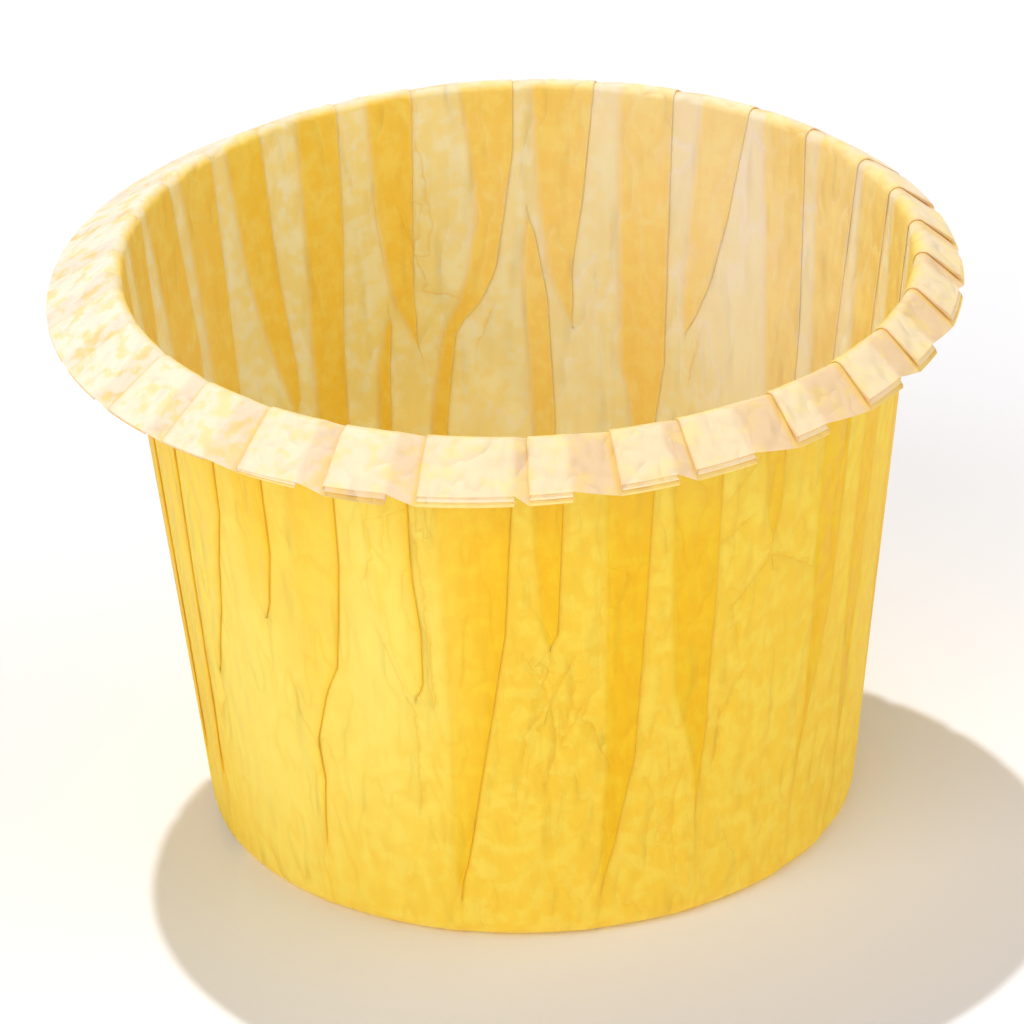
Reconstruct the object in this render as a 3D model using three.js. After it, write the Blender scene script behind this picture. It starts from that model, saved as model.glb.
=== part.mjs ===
// Pleated paper baking cup: one disc of greaseproof paper, pressed into a flat base, a wall of knife
// pleats that flares to the rim, and a rim that rolls over into a short turned-down flange.
// Millimetres, +Z up. The origin is the centre of the underside of the base, and -Y is the front.

import * as THREE from "three";

// Sheet
const paper = 0.1; // thickness of the paper
const layerPitch = 0.25; // from the middle of one folded layer to the middle of the next

// Cup
const baseRadius = 25; // where the slope of the wall meets the table
const rimRadius = 30.5; // where the slope of the wall meets the top
const cupHeight = 46.3; // table to the top of the rolled edge
const baseBend = 1.5; // radius between the base and the wall
const rimBend = 0.8; // radius that the wall rolls over at the rim

// Flange: its slant width and droop change round the rim, because it was pressed slightly off centre
const flangeWidth = 5.75; // mean slant width of the flange
const flangeWider = 1.2; // how much wider it is on the left than the mean
const flangeDroop = 36.5; // mean slope below the horizontal, in degrees
const droopToRight = 5; // extra droop on the right, in degrees
const droopToFront = 4; // extra droop at the front, in degrees
const lowerLayerShows = 0.6; // how far the lowest layer of a pleat reaches past the top one

// Pleats, anticlockwise from the right. Each has the bearing of its inner fold at the rim, the bearing
// that the three layers span there, and how far its foot drifts round the cup by the base, in degrees.
const pleats = [
  { at: 7, spans: 8, drifts: -1 },
  { at: 18, spans: 8.5, drifts: 0 },
  { at: 30, spans: 8.5, drifts: 0 },
  { at: 41.5, spans: 8, drifts: 1 },
  { at: 53, spans: 9, drifts: 4 },
  { at: 66, spans: 8.5, drifts: 0 },
  { at: 78, spans: 9, drifts: -2 },
  { at: 90, spans: 8.5, drifts: 8 },
  { at: 105.5, spans: 8, drifts: 1 },
  { at: 117, spans: 8.5, drifts: 0 },
  { at: 130, spans: 8, drifts: -3 },
  { at: 141.5, spans: 8.5, drifts: 0 },
  { at: 152.5, spans: 7.5, drifts: 1 },
  { at: 163, spans: 8.5, drifts: 1 },
  { at: 175, spans: 8, drifts: 0 },
  { at: 187, spans: 8.5, drifts: 0 },
  { at: 198.5, spans: 8, drifts: -1 },
  { at: 210, spans: 8, drifts: -2 },
  { at: 221, spans: 8, drifts: 1 },
  { at: 232.5, spans: 9, drifts: -6 },
  { at: 245, spans: 8, drifts: -2 },
  { at: 256.8, spans: 9.5, drifts: -1 },
  { at: 270, spans: 7, drifts: 2 },
  { at: 281, spans: 8, drifts: 0 },
  { at: 291.6, spans: 8.4, drifts: 2 },
  { at: 306, spans: 7, drifts: 0 },
  { at: 319.8, spans: 7.5, drifts: 0 },
  { at: 332, spans: 8, drifts: 1 },
  { at: 345, spans: 8, drifts: 0 },
  { at: 356.5, spans: 7, drifts: 0 },
];

// Heights where a pleat takes shape, going up from the smooth edge of the base
const rippleHeight = 4.5; // the sheet has a full ripple
const standingHeight = 8.5; // the ripple is steep enough to stand square to the wall
const pressedHeight = 14; // the ripple has fallen over and is pressed flat

const baseBendSteps = 2;
const rimBendSteps = 3;
const columnsPerPleat = 8;
const columns = pleats.length * columnsPerPleat;
const wallTilt = Math.atan2(rimRadius - baseRadius, cupHeight);

const paperMaterial = new THREE.MeshStandardMaterial({
  color: 0xf9d057,
  roughness: 0.7,
  metalness: 0,
  side: THREE.DoubleSide,
});
paperMaterial.name = "greaseproof_paper";

// Shapes of one pleat, each as its eight bends. A bend has its distance round the cup from the middle
// of the pleat, and its layer: 1 is the outer layer, 0 the middle one and -1 the inner one. The sheet
// arrives outside and leaves inside.
const rippleLayers = [1, 1, 0.6, 0.2, -0.2, -0.6, -1, -1];

function smoothSheet(room) {
  return rippleLayers.map((layer, bend) => [((bend + 0.5) / columnsPerPleat - 0.5) * room, 0]);
}

function rippledSheet(room) {
  return rippleLayers.map((layer, bend) => [((bend + 0.5) / columnsPerPleat - 0.5) * room, layer]);
}

function standingPleat(room) {
  const end = room / 4;
  const bendRadius = layerPitch / 2;
  const distances = [-end, -bendRadius, 0, 0, 0, 0, bendRadius, end];
  return distances.map((distance, bend) => [distance, rippleLayers[bend]]);
}

// A knife pleat: the sheet folds at the far end, runs back between the layers and folds again.
function pressedPleat(room, overlap) {
  const end = overlap / 2;
  const bendRadius = layerPitch / 2;
  return [
    [-end, 1],
    [end - bendRadius, 1],
    [end, 0.5],
    [end - bendRadius, 0],
    [bendRadius - end, 0],
    [-end, -0.5],
    [bendRadius - end, -1],
    [end, -1],
  ];
}

// Profile of the middle of the sheet, from the edge of the base to the edge of the flange. Each row has
// its radius, its height, the direction that faces out of the cup, the length of flat sheet from the
// centre of the disc, and the shape of its pleats. The flange's width and droop depend on the bearing.
function profileRows(bearing) {
  const across = Math.cos(bearing);
  const along = Math.sin(bearing);
  const width = flangeWidth - flangeWider * across;
  const droop = THREE.MathUtils.degToRad(flangeDroop + droopToRight * across - droopToFront * along);
  const rows = [];

  // Base bend: from straight down to square with the wall
  const bendHeight = paper / 2 + baseBend;
  const bendCentre = baseRadius + bendHeight * Math.tan(wallTilt) - baseBend / Math.cos(wallTilt);
  const bendAngle = Math.PI / 2 - wallTilt;
  for (let step = 0; step <= baseBendSteps; step++) {
    const turned = (step / baseBendSteps) * bendAngle;
    rows.push({
      radius: bendCentre + baseBend * Math.sin(turned),
      height: bendHeight - baseBend * Math.cos(turned),
      outward: [Math.sin(turned), -Math.cos(turned)],
      length: bendCentre + baseBend * turned,
      shape: smoothSheet,
    });
  }

  // Wall: straight, up to where it starts to roll over
  const foot = rows[rows.length - 1];
  const wallOut = [Math.cos(wallTilt), -Math.sin(wallTilt)];
  const wallTop = cupHeight - rimBend - layerPitch - paper / 2 + rimBend * Math.sin(wallTilt);
  const wallRows = [
    [rippleHeight, rippledSheet],
    [standingHeight, standingPleat],
    [pressedHeight, pressedPleat],
    [(pressedHeight + wallTop) / 2, pressedPleat],
    [wallTop, pressedPleat],
  ];
  for (const [height, shape] of wallRows) {
    rows.push({
      radius: baseRadius + height * Math.tan(wallTilt),
      height,
      outward: wallOut,
      length: foot.length + (height - foot.height) / Math.cos(wallTilt),
      shape,
    });
  }

  // Rim: over the top and down to the slope of the flange
  const top = rows[rows.length - 1];
  const rollCentre = [top.radius + rimBend * wallOut[0], top.height + rimBend * wallOut[1]];
  const rollAngle = Math.PI / 2 - wallTilt + droop;
  for (let step = 1; step <= rimBendSteps; step++) {
    const turned = (step / rimBendSteps) * rollAngle;
    const facing = Math.PI - wallTilt - turned;
    rows.push({
      radius: rollCentre[0] + rimBend * Math.cos(facing),
      height: rollCentre[1] + rimBend * Math.sin(facing),
      outward: [-Math.cos(facing), -Math.sin(facing)],
      length: top.length + rimBend * turned,
      shape: pressedPleat,
    });
  }

  // Flange: straight down its slope
  const shoulder = rows[rows.length - 1];
  const straight = width - rimBend * rollAngle;
  rows.push({
    radius: shoulder.radius + straight * Math.cos(droop),
    height: shoulder.height - straight * Math.sin(droop),
    outward: [-Math.sin(droop), -Math.cos(droop)],
    length: shoulder.length + straight,
    shape: pressedPleat,
  });
  return rows;
}

const rowCount = profileRows(0).length;
const rimRow = rowCount - 2 - rimBendSteps;

// Bearings of the two folds of a pleat, in degrees, as they drift round the cup on the way down.
function foldBearings(index, height) {
  const pleat = pleats[(index + pleats.length) % pleats.length];
  const turns = Math.floor(index / pleats.length);
  const start = pleat.at + 360 * turns + pleat.drifts * Math.max(1 - height / cupHeight, 0);
  return [start, start + pleat.spans];
}

// Bearing of the line half-way between a pleat and the one before it.
function boundary(index, height) {
  const before = foldBearings(index - 1, height)[1];
  const after = foldBearings(index, height)[0];
  return THREE.MathUtils.degToRad((before + after) / 2);
}

// One point on the middle of the sheet.
function sheetPoint(rowIndex, pleatIndex, bend) {
  const pleat = pleats[pleatIndex];
  const rows = profileRows(THREE.MathUtils.degToRad(pleat.at + pleat.spans / 2));
  const row = rows[rowIndex];
  const rim = rows[rimRow];

  // The length of sheet that the cup has no room for goes into the pleats
  const gathered = Math.min((row.length - row.radius) / (rim.length - rim.radius), 1);
  const overlap = THREE.MathUtils.degToRad(pleat.spans) * rimRadius * gathered;
  const from = boundary(pleatIndex, row.height);
  const to = boundary(pleatIndex + 1, row.height);
  const [start, end] = foldBearings(pleatIndex, row.height);
  const [distance, layer] = row.shape((to - from) * row.radius, overlap)[bend];
  const opened = row.shape === smoothSheet || row.shape === rippledSheet;
  const middle = opened ? (from + to) / 2 : THREE.MathUtils.degToRad((start + end) / 2);
  const bearing = middle + distance / row.radius;

  const local = profileRows(bearing)[rowIndex];
  const depth = layer * layerPitch;
  const reach = rowIndex === rowCount - 1 ? (lowerLayerShows * (layer + 1)) / 2 : 0;
  const radius = local.radius + depth * local.outward[0] - reach * local.outward[1];
  const height = local.height + depth * local.outward[1] + reach * local.outward[0];
  return new THREE.Vector3(radius * Math.cos(bearing), radius * Math.sin(bearing), height);
}

// Unit direction through a point, from its neighbours on both sides.
function through(before, here, after) {
  const arriving = here.clone().sub(before).normalize();
  const leaving = after.clone().sub(here).normalize();
  return arriving.add(leaving).normalize();
}

// The folded sheet as one closed body: an outer face and an inner face, half the thickness of the paper
// to either side of the middle, joined round the edge of the flange and closed across the base.
function foldedSheet() {
  const middle = [];
  for (let row = 0; row < rowCount; row++) {
    const ring = [];
    for (let pleat = 0; pleat < pleats.length; pleat++) {
      for (let bend = 0; bend < columnsPerPleat; bend++) {
        ring.push(sheetPoint(row, pleat, bend));
      }
    }
    middle.push(ring);
  }

  const centre = new THREE.Vector3(0, 0, paper / 2);
  const down = new THREE.Vector3(0, 0, -1);
  const positions = [];
  for (const side of [1, -1]) {
    for (let row = 0; row < rowCount; row++) {
      for (let column = 0; column < columns; column++) {
        const here = middle[row][column];
        const before = middle[row][(column + columns - 1) % columns];
        const after = middle[row][(column + 1) % columns];
        const below = row > 0 ? middle[row - 1][column] : centre;
        const above = row < rowCount - 1 ? middle[row + 1][column] : here.clone().multiplyScalar(2).sub(below);
        const round = through(before, here, after);
        const up = through(below, here, above);
        const outward = row > 0 ? round.cross(up).normalize() : down;
        const point = here.clone().addScaledVector(outward, (side * paper) / 2);
        positions.push(point.x, point.y, point.z);
      }
    }
  }

  const triangles = [];
  const faceSize = rowCount * columns;
  const quad = (a, b, c, d) => triangles.push(a, b, c, a, c, d);
  const inside = (corner) => faceSize + corner;
  for (let column = 0; column < columns; column++) {
    const next = (column + 1) % columns;
    for (let row = 0; row < rowCount - 1; row++) {
      const low = row * columns;
      const high = low + columns;
      quad(low + column, low + next, high + next, high + column);
      quad(inside(low + column), inside(high + column), inside(high + next), inside(low + next));
    }
    const edge = (rowCount - 1) * columns;
    quad(edge + column, edge + next, inside(edge + next), inside(edge + column));
  }

  // Flat base: the first ring of each face, closed with triangles
  const outline = [];
  for (let column = 0; column < columns; column++) {
    outline.push(new THREE.Vector2(positions[3 * column], positions[3 * column + 1]));
  }
  for (const [a, b, c] of THREE.ShapeUtils.triangulateShape(outline, [])) {
    triangles.push(a, c, b);
    triangles.push(inside(a), inside(b), inside(c));
  }

  const geometry = new THREE.BufferGeometry();
  geometry.setAttribute("position", new THREE.Float32BufferAttribute(positions, 3));
  geometry.setIndex(triangles);
  geometry.computeVertexNormals();
  return geometry;
}

const bakingCup = new THREE.Group();
const paperCup = new THREE.Mesh(foldedSheet(), paperMaterial);
paperCup.name = "paper_cup";
bakingCup.add(paperCup);

export default bakingCup;
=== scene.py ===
import math

import bpy
import numpy as np
from bpy.props import FloatProperty, FloatVectorProperty, IntProperty, PointerProperty
from mathutils import Matrix, Vector


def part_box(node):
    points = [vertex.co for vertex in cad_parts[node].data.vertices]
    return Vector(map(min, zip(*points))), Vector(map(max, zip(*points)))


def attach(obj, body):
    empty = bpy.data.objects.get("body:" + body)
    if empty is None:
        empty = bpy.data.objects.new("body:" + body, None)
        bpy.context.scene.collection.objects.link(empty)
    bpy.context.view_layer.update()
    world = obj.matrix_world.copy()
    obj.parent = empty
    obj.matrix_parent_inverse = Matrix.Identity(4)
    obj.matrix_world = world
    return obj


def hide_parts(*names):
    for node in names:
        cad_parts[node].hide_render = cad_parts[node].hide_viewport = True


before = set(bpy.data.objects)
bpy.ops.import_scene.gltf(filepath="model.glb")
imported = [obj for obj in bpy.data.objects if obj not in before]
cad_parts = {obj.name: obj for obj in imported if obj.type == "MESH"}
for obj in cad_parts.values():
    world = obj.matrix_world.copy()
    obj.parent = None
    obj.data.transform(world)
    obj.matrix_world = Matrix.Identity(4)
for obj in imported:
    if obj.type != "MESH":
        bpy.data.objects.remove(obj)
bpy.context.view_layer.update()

bl_info = {
    "name": "Pleated Baking Cup",
    "version": (1, 0, 0),
    "blender": (4, 5, 0),
    "location": "View3D > Sidebar > Baking Cup",
    "description": "Folds a paper baking cup from one disc of greaseproof paper and sets it in soft light",
    "category": "Add Mesh",
}

MM = 0.001
NODE = "paper_cup"


def evenly(start, end, drift=0.0):
    """Route of a pleat that narrows evenly from the rim to nothing at the base."""
    foot = (start + end) / 2 + drift
    return ((0, start, end), (0.5, (start * 3 + end) / 4 + drift / 2, (start + end * 3) / 4 + drift / 2),
            (0.9, foot - 0.5, foot + 0.5), (1, foot, foot))


# Pleats, anticlockwise from the right. A route gives, for shares of the way down from the rim to the
# base, the bearings in degrees of the inner fold and the outer fold. The layers lie between them.
PLEATS = (
    evenly(7, 15, -1),
    evenly(18, 27),
    evenly(28.5, 38.3),
    ((0, 41.2, 49.7), (0.36, 39.4, 47), (0.7, 40, 44.5), (1, 42, 42.5)),
    ((0, 52.5, 60.7), (0.2, 55.3, 62), (0.33, 58, 62.6), (0.43, 61.5, 62.6), (0.47, 62, 62), (1, 61, 61)),
    ((0, 65.3, 74), (0.5, 65.7, 73.4), (0.6, 67, 71.5), (1, 69, 69.6)),
    ((0, 77.8, 87.2), (0.2, 79.5, 86.6), (0.33, 81.3, 85.4), (0.4, 81.2, 83.2), (0.48, 80.4, 80.6),
     (1, 80, 80)),
    ((0, 88.5, 88.5), (0.18, 88.4, 88.4), (0.3, 86.6, 89.3), (0.39, 85.3, 89.3), (0.62, 84.4, 88.4),
     (1, 86, 86.6)),
    ((0, 89.9, 98), (0.11, 90.2, 97), (0.22, 91.7, 96.4), (0.33, 93.4, 98), (0.39, 96, 100),
     (0.44, 100.3, 102.7), (0.61, 102.7, 105.6), (1, 104, 105)),
    ((0, 105.2, 112.6), (0.22, 106.3, 112.2), (0.37, 107, 110.6), (0.42, 106.8, 108.6),
     (0.5, 105.6, 106.4), (0.54, 105.9, 105.9), (1, 106.5, 106.5)),
    ((0, 113.7, 113.7), (0.35, 111.3, 111.3), (0.41, 110.8, 112.4), (0.48, 111.9, 114.1),
     (0.58, 112.5, 115), (1, 113, 114)),
    ((0, 117.2, 124.4), (0.22, 118, 125), (0.41, 119.7, 126), (0.55, 120.3, 126.3), (1, 122.5, 123.5)),
    ((0, 130.9, 138.3), (0.22, 130.7, 137.3), (0.33, 130, 135.6), (0.44, 129.2, 133), (0.5, 129.2, 131.4),
     (0.56, 130.2, 130.2), (1, 130.5, 130.5)),
    ((0, 141.3, 149.7), (0.39, 142, 148.4), (1, 144.5, 145.5)),
    ((0, 152.4, 161.2), (0.3, 150.6, 159.4), (1, 154, 155)),
    evenly(163.2, 171, 1),
    evenly(175, 183),
    evenly(187, 195.5),
    evenly(198.5, 206.5, -1),
    ((0, 210, 217.9), (0.27, 209, 217), (0.37, 208, 214.8), (0.48, 206.8, 213), (0.58, 206.8, 210),
     (0.64, 208.4, 209), (1, 208, 208)),
    ((0, 221, 228), (0.3, 222, 227.8), (0.41, 223.6, 226.2), (0.46, 224.8, 225.2), (1, 224, 224)),
    ((0, 233, 241.4), (0.28, 233, 240.8), (0.4, 232.6, 239.6), (0.5, 231.9, 238.4), (0.56, 230.9, 235.8),
     (0.67, 229.9, 232.8), (0.75, 231, 233.2), (0.85, 231.2, 232.6), (1, 230.9, 231.4)),
    ((0, 245, 253), (0.28, 246, 252.6), (0.4, 247.5, 253.4), (0.5, 250, 253), (0.56, 251.6, 251.6),
     (1, 250, 250)),
    ((0, 256.8, 268.8), (0.39, 257, 266.4), (0.55, 257, 264), (0.67, 256.7, 262), (0.8, 256.4, 259.8),
     (0.9, 256.2, 258), (1, 256.4, 257)),
    ((0, 270.6, 276), (0.2, 271.2, 275.2), (0.39, 272.2, 274.4), (0.46, 273, 273), (1, 271, 271)),
    ((0, 282, 289.4), (0.39, 282, 288), (0.55, 281.8, 287.2), (0.67, 282, 286.6), (0.77, 281.4, 284.6),
     (0.88, 280.8, 282.6), (1, 280, 280.6)),
    ((0, 291.8, 300.2), (0.39, 292.6, 299.8), (0.55, 293.4, 299.2), (0.62, 295.2, 299.2),
     (0.69, 296.8, 298.8), (0.83, 297.4, 298.4), (1, 298.6, 299)),
    ((0, 306.6, 311.8), (0.22, 308.6, 311.4), (0.33, 310, 310.4), (0.36, 310.3, 310.3), (1, 309, 309)),
    ((0, 319.8, 327), (0.33, 320.4, 326.6), (0.5, 321, 325.8), (0.67, 321.2, 323), (0.73, 320.2, 321.8),
     (0.85, 319.2, 320.4), (1, 319, 319.6)),
    ((0, 331.8, 337.2), (0.44, 331.5, 336.2), (0.67, 332.6, 335.4), (0.78, 333.6, 335.4),
     (1, 332, 332.6)),
    evenly(345, 353),
    evenly(356.5, 363.4),
)

# Creases that no pleat makes: half-width and depth in millimetres, then points as (bearing, way down).
CREASES = (
    (0.5, 0.2, ((247.2, 0.10), (249.4, 0.17), (249.6, 0.22))),
    (0.5, 0.2, ((246, 0.20), (246.8, 0.25), (245.4, 0.29))),
    (0.5, 0.24, ((253.6, 0.10), (252.4, 0.14), (253.2, 0.22), (254, 0.32), (254.4, 0.44), (254.6, 0.52))),
    (0.45, 0.16, ((254.6, 0.12), (256, 0.2))),
    (0.5, 0.2, ((246.8, 0.42), (249.4, 0.50), (250.8, 0.56), (251.4, 0.62), (251, 0.74))),
    (0.5, 0.2, ((222.4, 0.14), (224.6, 0.17), (224.2, 0.22))),
    (0.5, 0.2, ((224.4, 0.16), (226.4, 0.23))),
    (0.5, 0.18, ((208.5, 0.67), (207, 0.70))),
    (0.45, 0.16, ((228.6, 0.56), (229.5, 0.61), (232, 0.655))),
    (0.55, 0.22, ((309.8, 0.34), (303.6, 0.41), (304.4, 0.48))),
    (0.55, 0.2, ((311, 0.335), (315, 0.36), (319, 0.39))),
    (0.5, 0.14, ((302.8, 0.18), (306, 0.14))),
    (0.5, 0.16, ((301.5, 0.27), (305.4, 0.24))),
    (0.5, 0.16, ((305.6, 0.55), (302, 0.62), (301.2, 0.70))),
    (0.45, 0.22, ((273, 0.46), (271.6, 0.52))),
    (0.45, 0.2, ((269.4, 0.44), (272, 0.49), (273, 0.53), (276.4, 0.45))),
    (0.45, 0.2, ((272.6, 0.53), (269, 0.60), (268.4, 0.64))),
    (0.45, 0.2, ((273.2, 0.54), (273.8, 0.62), (272, 0.70))),
    (0.45, 0.2, ((276.8, 0.50), (275.4, 0.60), (277.4, 0.55), (280.6, 0.61))),
    (0.4, 0.16, ((278.6, 0.54), (281.6, 0.66))),
    (0.5, 0.16, ((281.4, 0.30), (281, 0.38), (281.8, 0.44))),
    (0.5, 0.15, ((293, 0.72), (291.4, 0.82))),
    (0.5, 0.15, ((295, 0.70), (293.6, 0.80), (294.4, 0.90))),
    (0.5, 0.14, ((284, 0.20), (286, 0.27), (284.6, 0.33))),
    (0.5, 0.2, ((59.3, 0.43), (60.6, 0.50))),
    (0.5, 0.18, ((108.6, 0.20), (104.6, 0.36), (101.6, 0.37))),
    (0.45, 0.14, ((104.8, 0.10), (103.2, 0.24), (104, 0.30))),
    (0.5, 0.16, ((94.6, 0.41), (96.5, 0.46))),
)

# Painted highlights, where the wall is paler because light falls on it most strongly: 1 for the inner
# face, bearing and way down of the middle of the area, how far it reaches in degrees and in the way down,
# and how pale it is
PAINTED_HIGHLIGHTS = (
    (1, 48, 0.25, 45, 0.75, 1.0),
    (1, 170, 0.35, 28, 0.5, 0.45),
    (0, 246, 0.35, 12, 0.36, 1.0),
    (0, 222, 0.68, 18, 0.34, 1.0),
    (0, 205, 0.2, 28, 0.5, 0.45),
    (0, 298, 0.12, 40, 0.1, 0.3),
)

# The flange's plate that stands proud of its neighbours: bearing of its middle, reach in degrees, and how
# far, where the plates on the right stand 1 apart
RAISED_PLATE = (249, 5.5, 1.8)

# Bearings in degrees round which the flange's plates stand furthest apart, are pressed into one another
# and are most yellow, where the flange's painted highlight is weakest
PLATES_APART = -15
PLATES_PRESSED = 200
RIM_YELLOW = 320

# Shares of the roll over the rim at which the cream of the flange, a painted highlight, begins and is full
ROLL_CREAM = (0.4 / 1.7, 1.4 / 1.7)

# Bends of a pleat: the layer that each is in, from 1 outside to -1 inside, as a ripple and when pressed
RIPPLE_LAYERS = np.array([1, 1, 0.6, 0.2, -0.2, -0.6, -1, -1])
PRESSED_LAYERS = np.array([1, 1, 0.5, 0, 0, -0.5, -1, -1])
BENDS = len(RIPPLE_LAYERS)
SPLITS = (4, 1, 1, 3, 1, 1, 4, 5)  # columns between one bend and the next
FOLD_TIPS = np.array([0, 1, 1, 0, 0, 1, 1, 0])  # bends where the paper turns back on itself

# Overlaps at which a pleat is smooth, a ripple, a standing ridge and pressed flat
FOLD_STAGES = np.array([0.05, 0.25, 0.55, 1.0]) * MM
RIPPLE_WIDTH = 2.2 * MM

# How far a crease reaches to its sides
CREASED_WIDTH = 0.9 * MM

# How near a pleat's layers the wall isn't pushed in, so that they lie flat on one another
UNCREASED = 0.5 * MM

# Faces that meet at less than this angle are shaded as one curved surface
SMOOTH_TO = math.radians(38)

# Features per metre of the paper's blotches, drifts and wrinkles
CLOUD_SCALE = 620
DRIFT_SCALE = 90
WRINKLE_SCALE = 260

# How far in millimetres the edge of the overlapping layers wanders
EDGE_WANDER = 0.14

# Tints that the wall's colour is multiplied by, and how much of each it takes
BLOTCH_DULL = (0.99, 0.92, 0.60)
BLOTCH_CLEAR = (1.0, 1.04, 1.4)
BLOTCHED = 0.8
DRIFT_TINT = (0.98, 0.93, 0.7)
DRIFTED = 0.5
# Along the ridges of the wrinkles: painted shade outside and painted highlight inside
WRINKLE_SHADE_OUTSIDE = (0.97, 0.88, 0.55)
WRINKLE_HIGHLIGHT_INSIDE = (1.0, 1.06, 1.5)
WRINKLE_LIGHT_AND_SHADE = 0.45

# How much of their colour overlapping layers keep under a painted highlight, outside and inside
LAYERS_KEEP = (0.2, 0.6)

# Shares of the mottled colour in the flange's layers, and of the amber painted shade in its lower layers
FLANGE_LAYERED = 0.3
FLANGE_GAP_SHADE = 0.8

# Painted shade along the folds, a thin line and a soft one: how narrow and how strong, then both by face
THIN_FOLD_SHADE = (18, 0.5)
SOFT_FOLD_SHADE = (5, 0.35)
FOLD_SHADE_BY_FACE = (1.0, 0.15)

# How much of the glow's own tint is in the light that comes through
GLOW_TINTED = 0.65

# How the finish varies with the blotches, below and above its mean
ROUGHNESS_VARIES = (-0.08, 0.12)

# How strongly creases are marked with painted shade, how deep they and the wrinkles look, and how much the
# paper shines
CREASE_SHADE = 0.38
GROOVE_DEPTH = 0.06
RELIEF = 1.4 * MM
SHEEN = 0.2

FLOOR_GAP = 0.02 * MM


class CupSizes(bpy.types.PropertyGroup):
    """Sizes of the paper cup."""

    paper: FloatProperty(
        name="Paper", description="Thickness of the paper", default=0.05 * MM, unit="LENGTH")
    layer_pitch: FloatProperty(
        name="Layer pitch", description="From one folded layer to the next", default=0.08 * MM,
        unit="LENGTH")
    base_radius: FloatProperty(
        name="Base radius", description="Where the slope of the wall meets the table", default=25 * MM,
        unit="LENGTH")
    rim_radius: FloatProperty(
        name="Rim radius", description="Where the slope of the wall meets the top", default=30.5 * MM,
        unit="LENGTH")
    height: FloatProperty(
        name="Height", description="Table to the top of the rolled edge", default=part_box(NODE)[1][2],
        unit="LENGTH")
    base_bend: FloatProperty(
        name="Base bend", description="Radius between the base and the wall", default=1.5 * MM,
        unit="LENGTH")
    rim_bend: FloatProperty(
        name="Rim bend", description="Radius that the wall rolls over at the rim", default=0.7 * MM,
        unit="LENGTH")
    flange_width: FloatProperty(
        name="Flange width", description="Mean slant width of the flange", default=5.75 * MM,
        unit="LENGTH")
    flange_wider: FloatProperty(
        name="Flange wider", description="How much wider the flange is on the left", default=1.2 * MM,
        unit="LENGTH")
    flange_droop: FloatProperty(
        name="Flange droop", description="Mean slope of the flange", default=math.radians(36.5),
        unit="ROTATION")
    droop_right: FloatProperty(
        name="Droop right", description="Extra slope on the right", default=math.radians(5),
        unit="ROTATION")
    droop_front: FloatProperty(
        name="Droop front", description="Extra slope at the front", default=math.radians(4),
        unit="ROTATION")
    plate_step: FloatProperty(
        name="Plate step",
        description="How far a plate of the flange grows towards the next one, which covers it",
        default=0.75 * MM, unit="LENGTH")
    plate_step_left: FloatProperty(
        name="Plate step left",
        description="The same on the left, where the plates are pressed into one another",
        default=0.12 * MM, unit="LENGTH")
    plates_lift: FloatProperty(
        name="Plates lift",
        description="How far the plates on the right stand apart, as a share of the layer pitch",
        default=1.6, min=0)
    wall_rows: IntProperty(name="Wall rows", description="Rows of faces up the wall", default=56, min=8)
    flange_rows: IntProperty(
        name="Flange rows", description="Rows of faces across the flange", default=8, min=2)


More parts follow.
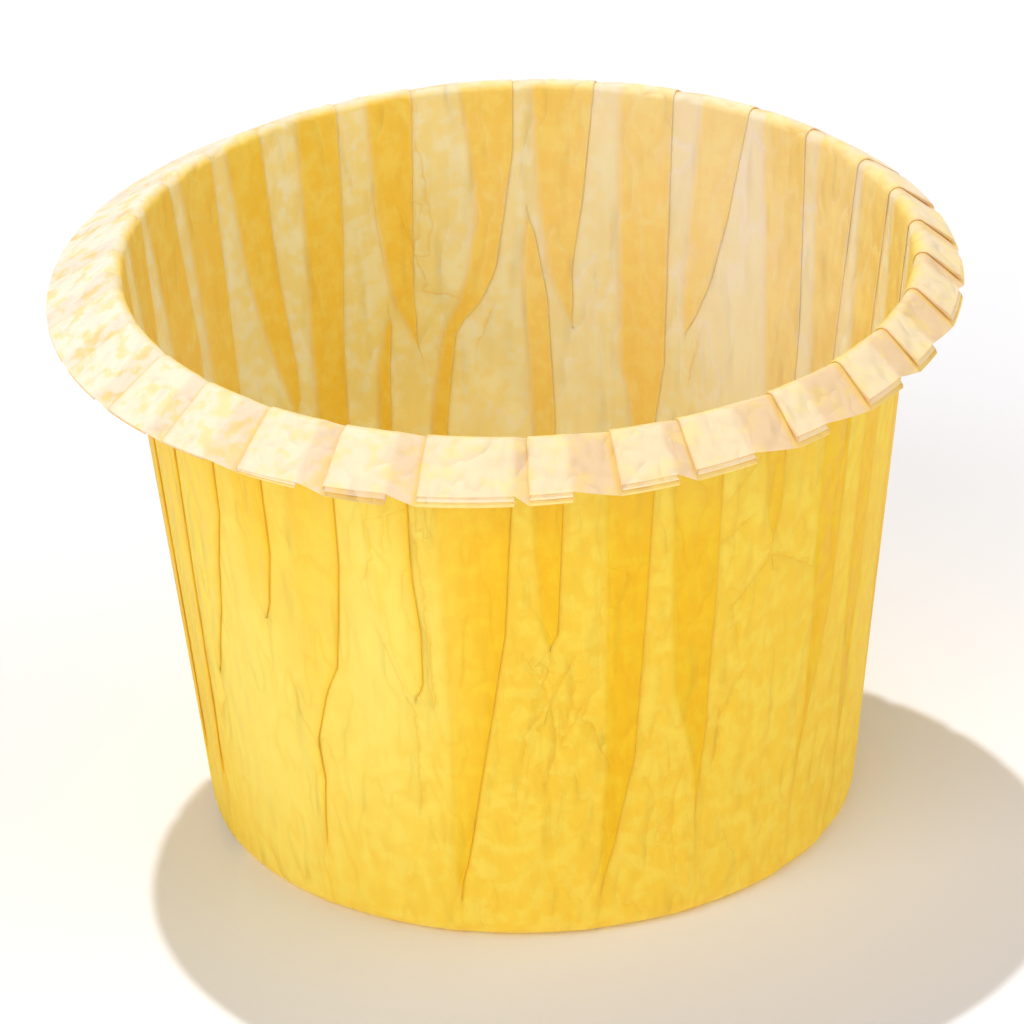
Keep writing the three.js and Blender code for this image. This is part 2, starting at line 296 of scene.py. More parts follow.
class CupColours(bpy.types.PropertyGroup):
    """Colours and finish of the paper."""

    # Inner and outer faces are the same paper: the paler inner colours and deeper outer ones are painted
    # light, the inner face painted as lit from the front and the outer as lit through the paper
    outside: FloatVectorProperty(
        name="Outside", description="One layer, seen from outside", default=(0.99, 0.75, 0.052),
        subtype="COLOR")
    # Painted highlight: paler where light falls most strongly, in front on the left
    outside_highlight: FloatVectorProperty(
        name="Outside bleached", description="The same where the paper is palest, in front on the left",
        default=(1.0, 0.86, 0.18), subtype="COLOR")
    # Deeper where three layers overlap: partly the layering itself, partly painted shade where less light
    # comes through
    outside_folded: FloatVectorProperty(
        name="Outside folded", description="Three layers, seen from outside", default=(0.99, 0.62, 0.018),
        subtype="COLOR")
    inside: FloatVectorProperty(
        name="Inside", description="One layer, seen from inside", default=(1.0, 0.97, 0.56),
        subtype="COLOR")
    # Painted highlight: paler where light falls most strongly, at the back on the right
    inside_highlight: FloatVectorProperty(
        name="Inside bleached",
        description="The same where the paper is palest, at the back on the right",
        default=(1.0, 1.0, 1.0), subtype="COLOR")
    # Deeper where three layers overlap: partly the layering itself, partly painted shade where less light
    # comes through
    inside_folded: FloatVectorProperty(
        name="Inside folded", description="Three layers, seen from inside", default=(1.0, 0.72, 0.08),
        subtype="COLOR")
    # The flange's cream is a painted highlight: the same paper as the wall, paler where strong light falls
    # on it
    flange: FloatVectorProperty(
        name="Flange", description="The turned-out rim", default=(0.92, 0.74, 0.51), subtype="COLOR")
    # Painted highlight: paler still on the left and at the back
    flange_highlight: FloatVectorProperty(
        name="Flange bleached", description="The same on the left and at the back",
        default=(0.98, 0.91, 0.83), subtype="COLOR")
    flange_mottled: FloatVectorProperty(
        name="Flange mottled", description="Where grease and pressing made the rim clearer",
        default=(0.95, 0.78, 0.40), subtype="COLOR")
    # Painted shade, warmed by light through the paper, in the gaps where lower layers show past a plate
    flange_gap_shade: FloatVectorProperty(
        name="Flange under", description="The lower layers of the rim, where they show past a plate",
        default=(0.97, 0.70, 0.18), subtype="COLOR")
    # Painted shade along the folds and creases, where the layers' edges shade one another
    fold_and_crease_shade: FloatVectorProperty(
        name="Fold line", description="Along the folds", default=(0.95, 0.55, 0.01), subtype="COLOR")
    roughness: FloatProperty(
        name="Roughness", description="How matt the paper is", default=0.55, min=0, max=1,
        subtype="FACTOR")
    translucency: FloatProperty(
        name="Translucency", description="Share of the light that one layer lets through", default=0.38,
        min=0, max=1, subtype="FACTOR")
    translucency_folded: FloatProperty(
        name="Translucency folded",
        description="Share of the light that a layer of a pleat lets through", default=0.06,
        min=0, max=1, subtype="FACTOR")
    glow: FloatVectorProperty(
        name="Glow", description="Tint of the light that comes through", default=(1.0, 0.94, 0.70),
        subtype="COLOR")
    shadow_tint: FloatVectorProperty(
        name="Shadow tint", description="What a face of one layer lets through of a lamp's light",
        default=(0.26, 0.17, 0.09), subtype="COLOR")
    shadow_tint_folded: FloatVectorProperty(
        name="Shadow tint folded", description="What a face of a pleat lets through of a lamp's light",
        default=(0.638, 0.554, 0.448), subtype="COLOR")


class StageSettings(bpy.types.PropertyGroup):
    """Camera, light and floor."""

    camera_distance: FloatProperty(
        name="Camera distance", description="From the middle of the cup", default=0.8558, unit="LENGTH")
    camera_elevation: FloatProperty(
        name="Camera elevation", description="Above the horizon", default=math.radians(27.52),
        unit="ROTATION")
    camera_yaw: FloatProperty(
        name="Camera yaw", description="Turned to the left", default=math.radians(0.068), unit="ROTATION")
    camera_pitch: FloatProperty(
        name="Camera pitch", description="Turned upwards", default=math.radians(0.046), unit="ROTATION")
    camera_roll: FloatProperty(
        name="Camera roll", description="Tilted about the line of sight", default=math.radians(1.818),
        unit="ROTATION")
    lens: FloatProperty(
        name="Lens", description="Focal length in millimetres on a 36 mm sensor", default=387.35)
    sun_from: FloatVectorProperty(
        name="Sun from", description="Direction that the main light comes from",
        default=(-0.14, 0.33, 0.93), subtype="DIRECTION")
    sun_strength: FloatProperty(
        name="Sun strength", description="Strength of the main light", default=1.8, min=0)
    sun_softness: FloatProperty(
        name="Sun softness", description="Angle of the main light", default=math.radians(1.4),
        unit="ROTATION")
    fill_from: FloatVectorProperty(
        name="Fill from", description="Direction that the soft front light comes from",
        default=(-0.46, -0.74, 0.48), subtype="DIRECTION")
    fill_strength: FloatProperty(
        name="Fill strength", description="Strength of the front light", default=1.5, min=0)
    side_from: FloatVectorProperty(
        name="Side from", description="Direction that the soft light on the right comes from",
        default=(0.86, -0.1, 0.5), subtype="DIRECTION")
    side_strength: FloatProperty(
        name="Side strength", description="Strength of the right light", default=0.85, min=0)
    fill_softness: FloatProperty(
        name="Fill softness", description="Angle of the two soft lights", default=math.radians(60),
        unit="ROTATION")
    sky_strength: FloatProperty(
        name="Sky strength", description="Soft light from all round", default=0.26, min=0)
    sky_colour: FloatVectorProperty(
        name="Sky colour", description="Colour of that light", default=(1.0, 0.99, 0.97), subtype="COLOR")
    floor_colour: FloatVectorProperty(
        name="Floor colour", description="Plain pale floor", default=(0.90, 0.90, 0.93), subtype="COLOR")
    floor_size: FloatProperty(
        name="Floor size", description="Side of the floor", default=4.0, unit="LENGTH")


def fold_bearings(down):
    """Bearings of the inner and outer fold of every pleat, in radians, at each share of the way down."""
    folds = np.empty((2, len(down), len(PLEATS)))
    for index, route in enumerate(PLEATS):
        at, inner, outer = np.array(route).T
        folds[0, :, index] = np.interp(down, at, inner)
        folds[1, :, index] = np.interp(down, at, outer)
    return np.radians(folds)


def cup_rows(sizes):
    """Rows up the sheet, as (zone, share of the way through it)."""
    rows = [("base bend", share) for share in np.linspace(0, 1, 5)]
    rows += [("wall", share) for share in np.linspace(0, 1, sizes.wall_rows + 1)[1:]]
    rows += [("rim roll", share) for share in np.linspace(0, 1, 7)[1:]]
    rows += [("flange", share) for share in np.linspace(0, 1, sizes.flange_rows + 1)[1:]]
    return rows


def profile(sizes, zone, share, bearing):
    """Radius, height and outward direction of the middle of the sheet, for an array of bearings."""
    tilt = math.atan2(sizes.rim_radius - sizes.base_radius, sizes.height)
    bend_height = sizes.paper / 2 + sizes.base_bend
    bend_centre = sizes.base_radius + bend_height * math.tan(tilt) - sizes.base_bend / math.cos(tilt)
    wall_foot = bend_height - sizes.base_bend * math.sin(tilt)
    roll_top = sizes.height - sizes.layer_pitch - sizes.paper / 2
    wall_top = roll_top - sizes.rim_bend + sizes.rim_bend * math.sin(tilt)
    still = np.ones_like(bearing)
    if zone == "base bend":
        turned = share * (math.pi / 2 - tilt)
        return (still * (bend_centre + sizes.base_bend * math.sin(turned)),
                still * (bend_height - sizes.base_bend * math.cos(turned)),
                still * math.sin(turned), -still * math.cos(turned))
    if zone == "wall":
        height = wall_foot + share * (wall_top - wall_foot)
        return (still * (sizes.base_radius + height * math.tan(tilt)), still * height,
                still * math.cos(tilt), -still * math.sin(tilt))

    # Over the rim and down the flange, whose slope and width change round the cup
    droop = sizes.flange_droop + sizes.droop_right * np.cos(bearing) - sizes.droop_front * np.sin(bearing)
    roll_angle = math.pi / 2 - tilt + droop
    top_radius = sizes.base_radius + wall_top * math.tan(tilt)
    centre_radius = top_radius + sizes.rim_bend * math.cos(tilt)
    centre_height = wall_top - sizes.rim_bend * math.sin(tilt)
    turned = roll_angle * (share if zone == "rim roll" else 1)
    facing = math.pi - tilt - turned
    radius = centre_radius + sizes.rim_bend * np.cos(facing)
    height = centre_height + sizes.rim_bend * np.sin(facing)
    if zone == "flange":
        width = sizes.flange_width - sizes.flange_wider * np.cos(bearing) - sizes.rim_bend * roll_angle
        radius = radius + share * width * np.cos(droop)
        height = height - share * width * np.sin(droop)
    return radius, height, -np.cos(facing), -np.sin(facing)


def pleat_bends(sizes, radius, folds, room):
    """Distance round the cup and layer of the eight bends of one pleat, at one height."""
    overlap = (folds[1] - folds[0]) * radius
    bend_radius = sizes.layer_pitch / 2
    spread = (np.arange(BENDS) + 0.5) / BENDS - 0.5
    narrow = min(room, RIPPLE_WIDTH)
    end = overlap / 2
    smooth = (spread * room, np.zeros(BENDS))
    ripple = (spread * narrow, RIPPLE_LAYERS)
    standing = (np.array([-narrow / 3, -bend_radius, 0, 0, 0, 0, bend_radius, narrow / 3]), RIPPLE_LAYERS)
    pressed = (np.array([-end, end - bend_radius, end, end - bend_radius,
                         bend_radius - end, -end, bend_radius - end, end]), PRESSED_LAYERS)
    stages = (smooth, ripple, standing, pressed)
    stage = np.interp(overlap, FOLD_STAGES, range(len(stages)))
    below = min(int(stage), len(stages) - 2)
    part = stage - below
    return [(1 - part) * stages[below][k] + part * stages[below + 1][k] for k in (0, 1)] + [stage]


def folded_columns(sizes, rows):
    """Bearing, layer, overlap distance and fold mark of every column, one row of the sheet at a time."""
    wall = [share if zone == "wall" else (0 if zone == "base bend" else 1) for zone, share in rows]
    down = 1 - np.array(wall)
    folds = fold_bearings(down)
    turn = 2 * math.pi
    before = np.roll(folds[1], 1, axis=1)
    before[:, 0] -= turn
    borders = (before + folds[0]) / 2
    borders = np.concatenate([borders, borders[:, :1] + turn], axis=1)
    count = len(PLEATS)
    bearing, layer, mark = (np.empty((len(rows), count * BENDS + 1)) for _ in range(3))
    for index, (zone, share) in enumerate(rows):
        radius = float(profile(sizes, zone, share, np.zeros(1))[0][0])
        for pleat in range(count):
            inner, outer = folds[:, index, pleat]
            middle = (inner + outer) / 2
            room = 2 * radius * min(middle - borders[index, pleat], borders[index, pleat + 1] - middle)
            distance, layers, stage = pleat_bends(sizes, radius, (inner, outer), room)
            at = slice(pleat * BENDS, (pleat + 1) * BENDS)
            bearing[index, at] = middle + distance / radius
            layer[index, at] = layers
            mark[index, at] = FOLD_TIPS * min(stage / 2, 1)
    bearing[:, -1] = bearing[:, 0] + turn
    layer[:, -1] = layer[:, 0]
    mark[:, -1] = mark[:, 0]

    steps = np.concatenate([[0], np.cumsum(np.tile(SPLITS, count))])
    columns = np.arange(steps[-1])
    spread = [np.array([np.interp(columns, steps, line) for line in values])
              for values in (bearing, layer, mark)]

    # How far each point lies inside the layers of a pleat, or outside them as a negative distance
    standing, pressed = FOLD_STAGES[2:]
    inside = np.empty_like(spread[0])
    for index, (zone, share) in enumerate(rows):
        radius = float(profile(sizes, zone, share, np.zeros(1))[0][0])
        inner = np.concatenate([folds[0, index] - turn, folds[0, index], folds[0, index] + turn])
        outer = np.concatenate([folds[1, index] - turn, folds[1, index], folds[1, index] + turn])
        place = spread[0][index][:, None]
        unpressed = np.interp((outer - inner) * radius, (standing, pressed), (1, 0))
        within = np.minimum(place - inner, outer - place) * radius - unpressed * standing / 2
        inside[index] = within.max(axis=1)
    return spread[0], spread[1], spread[2], inside


def crease_lines(sizes, bearing, down):
    """Creases at points of the wall: inward push, nearness, and millimetres to one side of the nearest."""
    push = np.zeros_like(bearing)
    nearest = np.full_like(bearing, np.inf)
    side = np.zeros_like(bearing)
    wrapped = np.mod(bearing, 2 * math.pi)
    radius = sizes.rim_radius + (sizes.base_radius - sizes.rim_radius) * down
    for half_width, depth, points in CREASES:
        reached = np.full_like(bearing, np.inf)
        for (from_bearing, from_down), (to_bearing, to_down) in zip(points, points[1:]):
            across = (wrapped - math.radians(from_bearing)) * radius
            along = (down - from_down) * sizes.height
            run = np.array([math.radians(to_bearing - from_bearing) * sizes.rim_radius,
                            (to_down - from_down) * sizes.height])
            length = math.hypot(*run)
            reach = np.clip((across * run[0] + along * run[1]) / length ** 2, 0, 1)
            distance = np.hypot(across - reach * run[0], along - reach * run[1])
            reached = np.minimum(reached, distance)
            closer = distance < nearest
            nearest = np.where(closer, distance, nearest)
            side = np.where(closer, (across * run[1] - along * run[0]) / length / MM, side)
        push += np.exp(-((reached / (half_width * MM)) ** 2)) * depth * MM
    return push, np.exp(-((nearest / CREASED_WIDTH) ** 2)), side


def painted_highlight_share(bearing, down, turned_out, face):
    """How much painted highlight pales the paper, from 0 to 1, on its outer face (0) or inner face (1),
    and on the flange.
    """
    pale = np.zeros_like(bearing)
    for of_face, middle, middle_down, reach, reach_down, amount in PAINTED_HIGHLIGHTS:
        if of_face == face:
            apart = (np.degrees(bearing) - middle + 180) % 360 - 180
            pale += amount * np.exp(-((apart / reach) ** 2) - ((down - middle_down) / reach_down) ** 2)
    # On the flange the painted highlight is strongest on the left and at the back, and none at the front
    # and on the right
    at_rim = np.clip(0.55 - 0.8 * np.cos(bearing - math.radians(RIM_YELLOW)), 0, 1)
    return np.clip(pale, 0, 1) * (1 - turned_out) + at_rim * turned_out


def through(before, here, after):
    """Unit direction through points, from their neighbours on both sides."""
    arriving = here - before
    leaving = after - here
    arriving /= np.linalg.norm(arriving, axis=-1, keepdims=True)
    leaving /= np.linalg.norm(leaving, axis=-1, keepdims=True)
    both = arriving + leaving
    return both / np.linalg.norm(both, axis=-1, keepdims=True)


def folded_sheet(sizes):
    """Points in the middle of the folded sheet, the way out of its outer face, and its marks there."""
    rows = cup_rows(sizes)
    bearing, layer, mark, inside = folded_columns(sizes, rows)
    middle = np.empty(bearing.shape + (3,))
    turned_out = np.zeros_like(bearing)
    down = np.ones_like(bearing)
    creased = np.zeros_like(bearing)
    side = np.zeros_like(bearing)
    for index, (zone, share) in enumerate(rows):
        radius, height, out_radius, out_height = profile(sizes, zone, share, bearing[index])
        pitch = sizes.layer_pitch * np.ones_like(radius)
        reach = np.zeros_like(radius)
        down[index] = 1 - height / sizes.height
        if zone == "flange":
            turned_out[index] = 1
            apart = np.clip(np.cos(bearing[index] - math.radians(PLATES_APART)), 0, 1)
            plate, plate_reach, proud = RAISED_PLATE
            raised = proud * np.exp(-(((np.degrees(bearing[index]) - plate) / plate_reach) ** 4))
            pitch *= 1 + sizes.plates_lift * (apart * share + raised)
            pressed = np.clip((np.cos(bearing[index] - math.radians(PLATES_PRESSED)) - 0.6) / 0.3, 0, 1)
            step = sizes.plate_step + (sizes.plate_step_left - sizes.plate_step) * pressed
            reach = share * step * (layer[index] + 1) / 2
            down[index] = 0
        elif zone == "rim roll":
            turned_out[index] = np.interp(share, ROLL_CREAM, (0, 1))
            down[index] = 0
        elif zone == "base bend":
            pitch *= share
        elif zone == "wall":
            push, creased[index], side[index] = crease_lines(sizes, bearing[index], down[index])
            radius = radius - push * np.clip(-inside[index] / UNCREASED, 0, 1)
        depth = layer[index] * pitch
        radius = radius + depth * out_radius - reach * out_height
        height = height + depth * out_height + reach * out_radius
        middle[index, :, 0] = radius * np.cos(bearing[index])
        middle[index, :, 1] = radius * np.sin(bearing[index])
        middle[index, :, 2] = height

    centre = np.zeros_like(middle[:1])
    centre[..., 2] = sizes.paper / 2
    below = np.concatenate([centre, middle[:-1]])
    above = np.concatenate([middle[1:], 2 * middle[-1:] - middle[-2:-1]])
    round_cup = through(np.roll(middle, 1, axis=1), middle, np.roll(middle, -1, axis=1))
    up_cup = through(below, middle, above)
    outward = np.cross(round_cup, up_cup)
    outward /= np.linalg.norm(outward, axis=-1, keepdims=True)
    outward[0] = (0, 0, -1)
    marks = {"overlap": inside / MM, "turned_out": turned_out, "fold": mark, "layer": layer,
             "crease": creased, "crease_side": side}
    for face, name in enumerate(("outer_painted_highlight", "inner_painted_highlight")):
        marks[name] = painted_highlight_share(bearing, down, turned_out, face)
    return middle, outward, marks


def sheet_mesh(sizes):
    """The folded sheet as one closed mesh: an outer and an inner face, joined round the flange's edge."""
    middle, outward, marks = folded_sheet(sizes)
    painted_highlight = [marks.pop(name) for name in ("outer_painted_highlight", "inner_painted_highlight")]
    row_count, columns = middle.shape[:2]
    half = outward * sizes.paper / 2
    outer = (middle + half).reshape(-1, 3)
    inner = (middle - half).reshape(-1, 3)
    face_size = len(outer)
    points = np.concatenate([outer, inner, [(0, 0, 0), (0, 0, sizes.paper)]])
    base_outer, base_inner = 2 * face_size, 2 * face_size + 1

    column = np.arange(columns)
    following = (column + 1) % columns
    faces = []
    for row in range(row_count - 1):
        low, high = row * columns, (row + 1) * columns
        seen_outside = np.stack([low + column, low + following, high + following, high + column], axis=1)
        faces.append(seen_outside)
        faces.append(face_size + np.roll(seen_outside[:, ::-1], 1, axis=1))
    edge = (row_count - 1) * columns
    faces.append(np.stack([edge + column, edge + following,
                           face_size + edge + following, face_size + edge + column], axis=1))
    quads = np.concatenate(faces).tolist()
    base = [(base_outer, after, here) for here, after in zip(column.tolist(), following.tolist())]
    base += [(base_inner, face_size + here, face_size + after)
             for here, after in zip(column.tolist(), following.tolist())]

    mesh = bpy.data.meshes.new("paper_cup_folded")
    mesh.from_pydata(points.tolist(), [], quads + base)
    mesh.validate()
    for name, values in marks.items():
        whole = np.concatenate([values.ravel(), values.ravel(), [values[0].mean()] * 2])
        mesh.attributes.new(name, "FLOAT", "POINT").data.foreach_set("value", whole.astype(np.float32))
    pale = np.concatenate([painted_highlight[0].ravel(), painted_highlight[1].ravel(), [0, 0]])
    mesh.attributes.new("painted_highlight", "FLOAT", "POINT").data.foreach_set("value", pale.astype(np.float32))
    side = np.concatenate([np.zeros(face_size), np.ones(face_size), [0, 1]])
    mesh.attributes.new("inner_face", "FLOAT", "POINT").data.foreach_set("value", side.astype(np.float32))
    mesh.shade_smooth()
    mesh.set_sharp_from_angle(angle=SMOOTH_TO)
    return mesh


class NodeTree:
    """The nodes of a material or of the world, added and joined in a few words."""

    def __init__(self, owner):
        self.nodes = owner.node_tree.nodes
        self.links = owner.node_tree.links
        self.nodes.clear()

    def add(self, kind, settings=None, **inputs):
        """A node with its settings, and its inputs given as values or as other nodes' outputs."""
        node = self.nodes.new(kind)
        for name, value in (settings or {}).items():
            setattr(node, name, value)
        for name, value in inputs.items():
            self.set(node, name.replace("_", " "), value)
        return node

    def set(self, node, name, value):
        """One input of a node, by its name or number."""
        socket = node.inputs[name]
        if isinstance(value, bpy.types.NodeSocket):
            self.links.new(value, socket)
        else:
            socket.default_value = value

    def attribute(self, name):
        """What the mesh says under that name at each point."""
        return self.add("ShaderNodeAttribute", {"attribute_name": name}).outputs["Fac"]

    def combine(self, operation, first, second):
        """Two numbers combined by one of Blender's maths operations."""
        node = self.add("ShaderNodeMath", {"operation": operation})
        self.set(node, 0, first)
        self.set(node, 1, second)
        return node.outputs["Value"]

    def plus(self, first, second):
        return self.combine("ADD", first, second)

    def minus(self, first, second):
        return self.combine("SUBTRACT", first, second)

    def times(self, first, second):
        return self.combine("MULTIPLY", first, second)

    def greater(self, first, second):
        return self.combine("MAXIMUM", first, second)

    def without_sign(self, value):
        return self.combine("ABSOLUTE", value, 0)

    def ramp(self, value, low, high, to_low=0.0, to_high=1.0, smooth=True):
        """value, taken from low..high to to_low..to_high and held at the ends."""
        kind = "SMOOTHSTEP" if smooth else "LINEAR"
        node = self.add("ShaderNodeMapRange", {"interpolation_type": kind, "clamp": True}, Value=value,
                        From_Min=low, From_Max=high, To_Min=to_low, To_Max=to_high)
        return node.outputs["Result"]

    def mix(self, factor, first, second, blend="MIX"):
        """Two colours mixed."""
        node = self.add("ShaderNodeMix", {"data_type": "RGBA", "blend_type": blend})
        for index, value in ((0, factor), (6, first), (7, second)):
            self.set(node, index, value)
        return node.outputs[2]

    def mix_shaders(self, factor, first, second):
        """Two finishes mixed."""
        node = self.add("ShaderNodeMixShader")
        for index, value in enumerate((factor, first, second)):
            self.set(node, index, value)
        return node.outputs[0]

    def noise(self, place, scale, detail, roughness=0.5):
        """Cloudy noise with features of about one over scale metres."""
        node = self.add("ShaderNodeTexNoise", None, Vector=place, Scale=scale, Detail=detail,
                        Roughness=roughness)
        return node.outputs["Fac"]


def rgba(colour):
    """A colour as the four numbers a socket takes."""
    return (*colour, 1.0)


def layered_share(tree, overlap, wander, fold):
    """1 where a pleat's layers overlap, crisp at a fold in sight and blurred at one behind the paper."""
    edge = tree.plus(overlap, wander)
    in_sight = tree.ramp(fold, 0.4, 0.6)
    crisp = tree.ramp(edge, -0.1, 0.16)
    blurred = tree.ramp(edge, -0.4, 0.5)
    return tree.plus(tree.times(crisp, in_sight), tree.times(blurred, tree.minus(1.0, in_sight)))


def wall_colour(tree, colours, layered, inner_face, clouds, drifts, wrinkles):
    """Base and wall: deeper where layers overlap, partly as painted shade; blotched; paler in places as
    painted highlight; and finely lined with painted shade outside and painted highlight inside along the
    wrinkles.
    """
    # Inner face paler and outer deeper is painted light; folded layers deeper partly as painted shade
    outside = tree.mix(layered, rgba(colours.outside), rgba(colours.outside_folded))
    inside = tree.mix(layered, rgba(colours.inside), rgba(colours.inside_folded))
    wall = tree.mix(inner_face, outside, inside)
    blotches = tree.mix(tree.ramp(clouds, 0.42, 0.62), rgba(BLOTCH_DULL), rgba(BLOTCH_CLEAR))
    wall = tree.mix(BLOTCHED, wall, blotches, "MULTIPLY")
    wall = tree.mix(tree.times(drifts, DRIFTED), wall, rgba(DRIFT_TINT), "MULTIPLY")

    # The painted highlight pales the wall, but the layers of a pleat keep some of their colour there
    palest = tree.mix(inner_face, rgba(colours.outside_highlight), rgba(colours.inside_highlight))
    pale = tree.times(tree.attribute("painted_highlight"), tree.ramp(drifts, 0, 1, 1, 0.6))
    held_back = tree.times(layered, tree.ramp(inner_face, 0, 1, *LAYERS_KEEP))
    wall = tree.mix(tree.times(pale, tree.minus(1.0, held_back)), wall, palest)

    # Painted shade outside and painted highlight inside along the ridges of the wrinkles
    wrinkle_lines = tree.ramp(wrinkles, 0.0, 0.035, 1, 0)
    wrinkle_light_tint = tree.mix(inner_face, rgba(WRINKLE_SHADE_OUTSIDE), rgba(WRINKLE_HIGHLIGHT_INSIDE))
    return tree.mix(tree.times(wrinkle_lines, WRINKLE_LIGHT_AND_SHADE), wall, wrinkle_light_tint, "MULTIPLY")


def flange_colour(tree, colours, layered, inner_face, clouds):
    """Turned-out rim: paled to cream by painted highlight and mottled, and amber painted shade where its
    lower layers show past a plate.
    """
    cream = tree.mix(tree.attribute("painted_highlight"), rgba(colours.flange), rgba(colours.flange_highlight))
    mottled = tree.mix(tree.ramp(clouds, 0.47, 0.64), cream, rgba(colours.flange_mottled))
    flange = tree.mix(tree.times(layered, FLANGE_LAYERED), mottled, rgba(colours.flange_mottled))
    # Amber painted shade on the lower layers of the flange, where they show past a plate
    gap_shade = tree.times(tree.ramp(tree.attribute("layer"), 0.55, 0.95), inner_face)
    return tree.mix(tree.times(gap_shade, FLANGE_GAP_SHADE), flange, rgba(colours.flange_gap_shade))


def painted_fold_and_crease_shade(tree, fold, inner_face, crease, from_crease):
    """How strongly painted shade marks the folds and creases: a thin line in a wider soft one at each
    fold.
    """
    thin, soft = (tree.times(tree.combine("POWER", fold, narrow), strong)
                  for narrow, strong in (THIN_FOLD_SHADE, SOFT_FOLD_SHADE))
    folds = tree.times(tree.plus(thin, soft), tree.ramp(inner_face, 0, 1, *FOLD_SHADE_BY_FACE))
    creases = tree.times(tree.ramp(from_crease, 0.02, 0.16, 1, 0), crease)
    return tree.greater(folds, tree.times(creases, CREASE_SHADE))


def greaseproof_paper(colours):
    """Yellow greaseproof paper, which lets light through."""
    material = bpy.data.materials.new("greaseproof_paper")
    material.use_nodes = True
    tree = NodeTree(material)
    overlap = tree.attribute("overlap")
    fold = tree.attribute("fold")
    crease = tree.attribute("crease")
    inner_face = tree.attribute("inner_face")

    # Cloudy blotches, long drifts down the wall and long fine wrinkles
    place = tree.add("ShaderNodeTexCoord").outputs["Object"]
    stretched = tree.add("ShaderNodeMapping", None, Vector=place, Scale=(1, 1, 0.3)).outputs["Vector"]
    clouds = tree.noise(place, CLOUD_SCALE, 3, 0.62)
    drifts = tree.ramp(tree.noise(stretched, DRIFT_SCALE, 0), 0.3, 0.7)
    wrinkles = tree.without_sign(tree.minus(tree.noise(stretched, WRINKLE_SCALE, 2, 0.62), 0.5))

    # Edges and creases wander a little with the blotches
    wander = tree.ramp(clouds, 0.3, 0.7, -EDGE_WANDER, EDGE_WANDER, smooth=False)
    layered = layered_share(tree, overlap, wander, fold)
    from_crease = tree.without_sign(tree.plus(tree.attribute("crease_side"), tree.times(wander, 1.4)))

    wall = wall_colour(tree, colours, layered, inner_face, clouds, drifts, wrinkles)
    flange = flange_colour(tree, colours, layered, inner_face, clouds)
    plain = tree.mix(tree.attribute("turned_out"), wall, flange)
    # Painted shade along the folds and in the creases
    painted_shade = painted_fold_and_crease_shade(tree, fold, inner_face, crease, from_crease)
    colour = tree.mix(painted_shade, plain, rgba(colours.fold_and_crease_shade))
    seen_through = tree.mix(GLOW_TINTED, colour, rgba(colours.glow))

    groove = tree.times(tree.ramp(from_crease, 0, 0.45, GROOVE_DEPTH, 0, smooth=False), crease)
    bump = tree.add("ShaderNodeBump", None, Strength=1.0, Distance=RELIEF,
                    Height=tree.minus(wrinkles, groove))
    rough = tree.ramp(clouds, 0.35, 0.7, *(colours.roughness + change for change in ROUGHNESS_VARIES))
    face = tree.add("ShaderNodeBsdfPrincipled", None, Base_Color=colour, Roughness=rough,
                    Specular_IOR_Level=SHEEN, Normal=bump.outputs["Normal"])
    glow = tree.add("ShaderNodeBsdfTranslucent", None, Color=seen_through, Normal=bump.outputs["Normal"])
    share = tree.ramp(layered, 0, 1, colours.translucency, colours.translucency_folded, smooth=False)
    paper = tree.mix_shaders(share, face.outputs[0], glow.outputs[0])

    # A lamp shines through the paper, so its shadow is light and warm
    pleated = tree.ramp(overlap, 0, 0.1, smooth=False)
    tint = tree.mix(pleated, rgba(colours.shadow_tint), rgba(colours.shadow_tint_folded))
    clear = tree.add("ShaderNodeBsdfTransparent", None, Color=tint)
    shadow_ray = tree.add("ShaderNodeLightPath").outputs["Is Shadow Ray"]
    lit = tree.mix_shaders(shadow_ray, paper, clear.outputs[0])
    tree.add("ShaderNodeOutputMaterial", None, Surface=lit)
    material.diffuse_color = rgba(colours.outside)
    return material


def plain_floor(colour):
    """Plain pale floor."""
    material = bpy.data.materials.new("pale_floor")
    material.use_nodes = True
    tree = NodeTree(material)
    matt = tree.add("ShaderNodeBsdfDiffuse", None, Color=rgba(colour))
    tree.add("ShaderNodeOutputMaterial", None, Surface=matt.outputs[0])
    return material


class BAKINGCUP_OT_paper_cup(bpy.types.Operator):
    """Fold the paper cup: flat base, pleated wall, rolled rim and turned-out flange"""

    bl_idname = "mesh.baking_cup_paper"
    bl_label = "Paper Cup"

    def execute(self, context):
        mesh = sheet_mesh(context.scene.cup_sizes)
        mesh.materials.append(greaseproof_paper(context.scene.cup_colours))
        cup = bpy.data.objects.new("folded_paper_cup", mesh)
        context.collection.objects.link(cup)
        if len(mesh.polygons) == 0:
            raise RuntimeError("the paper cup has no faces")
        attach(cup, "root")
        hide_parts(NODE)
        return {"FINISHED"}


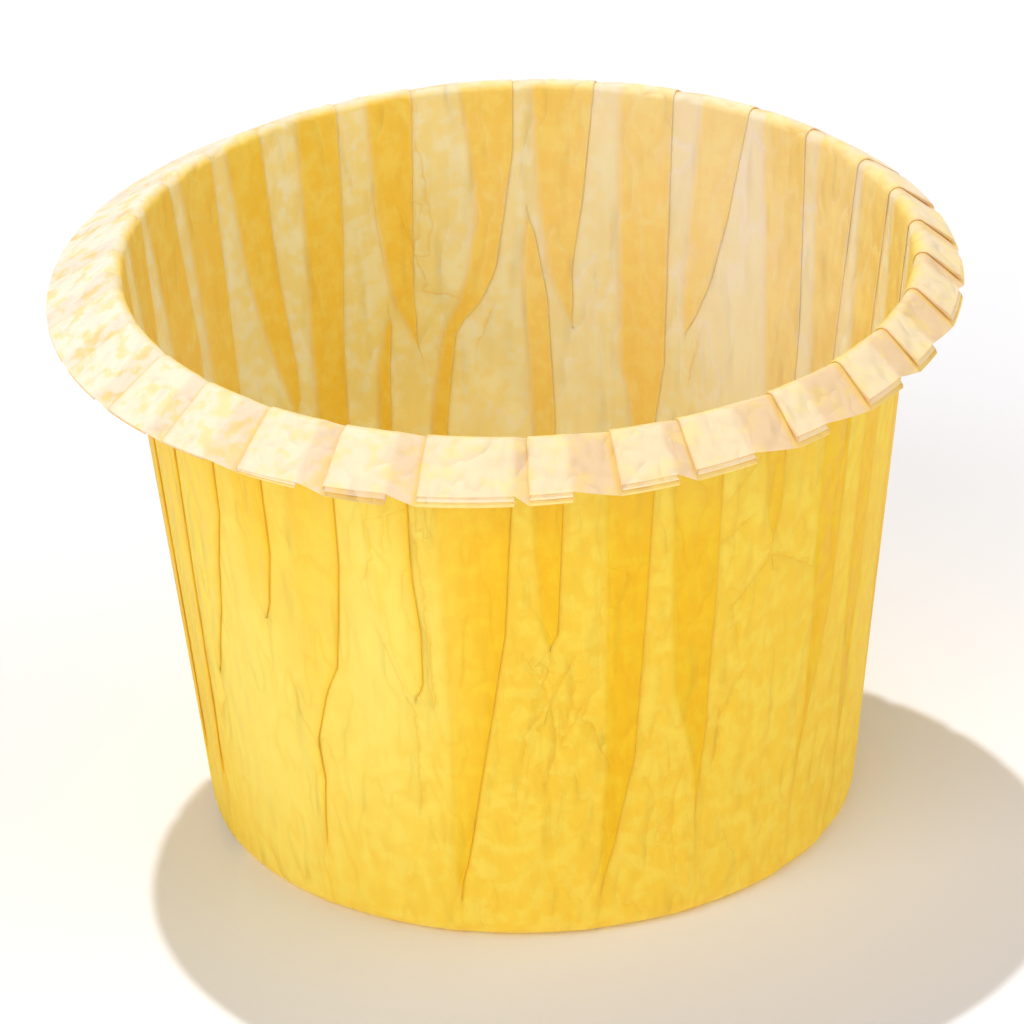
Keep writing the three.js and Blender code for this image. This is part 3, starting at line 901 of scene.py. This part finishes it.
class BAKINGCUP_OT_stage(bpy.types.Operator):
    """Set the floor, the soft light and the camera"""

    bl_idname = "scene.baking_cup_stage"
    bl_label = "Stage"

    def execute(self, context):
        stage = context.scene.cup_stage
        self.lay_floor(context, stage)
        self.hang_lights(context, stage)
        self.place_camera(context, stage)
        context.scene.view_settings.view_transform = "Standard"
        return {"FINISHED"}

    def lay_floor(self, context, stage):
        half = stage.floor_size / 2
        mesh = bpy.data.meshes.new("floor")
        corners = [(-half, -half, 0), (half, -half, 0), (half, half, 0), (-half, half, 0)]
        mesh.from_pydata(corners, [], [(0, 1, 2, 3)])
        mesh.materials.append(plain_floor(stage.floor_colour))
        floor = bpy.data.objects.new("floor", mesh)
        floor.location.z = -FLOOR_GAP
        context.collection.objects.link(floor)

    def hang_lights(self, context, stage):
        lamps = (("main_light", stage.sun_from, stage.sun_strength, stage.sun_softness),
                 ("front_light", stage.fill_from, stage.fill_strength, stage.fill_softness),
                 ("side_light", stage.side_from, stage.side_strength, stage.fill_softness))
        for name, comes_from, strength, softness in lamps:
            sun = bpy.data.lights.new(name, "SUN")
            sun.energy = strength
            sun.angle = softness
            lamp = bpy.data.objects.new(name, sun)
            lamp.rotation_euler = Vector(comes_from).to_track_quat("Z", "Y").to_euler()
            context.collection.objects.link(lamp)

        world = bpy.data.worlds.new("soft_sky")
        world.use_nodes = True
        tree = NodeTree(world)
        lit = tree.add("ShaderNodeBackground", None, Color=rgba(stage.sky_colour),
                       Strength=stage.sky_strength)
        seen = tree.add("ShaderNodeBackground", None, Color=(1, 1, 1, 1), Strength=1.0)

        # White to the camera, in reflections and through clear pieces, but not through the paper
        rays = tree.add("ShaderNodeLightPath").outputs
        through_clear = tree.minus(rays["Is Transmission Ray"], rays["Is Diffuse Ray"])
        looking = tree.greater(rays["Is Camera Ray"], tree.greater(rays["Is Glossy Ray"], through_clear))
        both = tree.mix_shaders(looking, lit.outputs[0], seen.outputs[0])
        tree.add("ShaderNodeOutputWorld", None, Surface=both)
        context.scene.world = world

    def place_camera(self, context, stage):
        height = context.scene.cup_sizes.height
        aim = Vector((0, 0, height / 2))
        level = math.cos(stage.camera_elevation)
        place = aim + stage.camera_distance * Vector((0, -level, math.sin(stage.camera_elevation)))
        forward = (aim - place).normalized()
        right = forward.cross(Vector((0, 0, 1))).normalized()
        up = right.cross(forward)
        yaw = Matrix.Rotation(stage.camera_yaw, 3, up)
        forward, right = yaw @ forward, yaw @ right
        pitch = Matrix.Rotation(stage.camera_pitch, 3, right)
        forward, up = pitch @ forward, pitch @ up
        roll = Matrix.Rotation(stage.camera_roll, 3, forward)
        right, up = roll @ right, roll @ up

        data = bpy.data.cameras.new("photo_camera")
        data.sensor_width = 36
        data.lens = stage.lens
        data.clip_start = 0.01
        data.clip_end = 20
        camera = bpy.data.objects.new("photo_camera", data)
        turned = Matrix((right, up, -forward)).transposed()
        camera.matrix_world = Matrix.Translation(place) @ turned.to_4x4()
        context.collection.objects.link(camera)
        context.scene.camera = camera


class BAKINGCUP_PT_sidebar(bpy.types.Panel):
    """Sizes, colours and stage of the baking cup."""

    bl_idname = "BAKINGCUP_PT_sidebar"
    bl_label = "Baking Cup"
    bl_space_type = "VIEW_3D"
    bl_region_type = "UI"
    bl_category = "Baking Cup"

    def draw(self, context):
        groups = (
            ("Sizes", context.scene.cup_sizes, BAKINGCUP_OT_paper_cup.bl_idname),
            ("Colours", context.scene.cup_colours, None),
            ("Stage", context.scene.cup_stage, BAKINGCUP_OT_stage.bl_idname),
        )
        for title, group, operator in groups:
            box = self.layout.box()
            box.label(text=title)
            for name in group.__annotations__:
                box.prop(group, name)
            if operator:
                box.operator(operator)


CLASSES = (CupSizes, CupColours, StageSettings,
           BAKINGCUP_OT_paper_cup, BAKINGCUP_OT_stage, BAKINGCUP_PT_sidebar)


def register():
    for each in CLASSES:
        bpy.utils.register_class(each)
    bpy.types.Scene.cup_sizes = PointerProperty(type=CupSizes)
    bpy.types.Scene.cup_colours = PointerProperty(type=CupColours)
    bpy.types.Scene.cup_stage = PointerProperty(type=StageSettings)


def unregister():
    del bpy.types.Scene.cup_stage
    del bpy.types.Scene.cup_colours
    del bpy.types.Scene.cup_sizes
    for each in reversed(CLASSES):
        bpy.utils.unregister_class(each)


def main():
    register()
    bpy.ops.mesh.baking_cup_paper()
    bpy.ops.scene.baking_cup_stage()


if __name__ == "__main__":
    main()
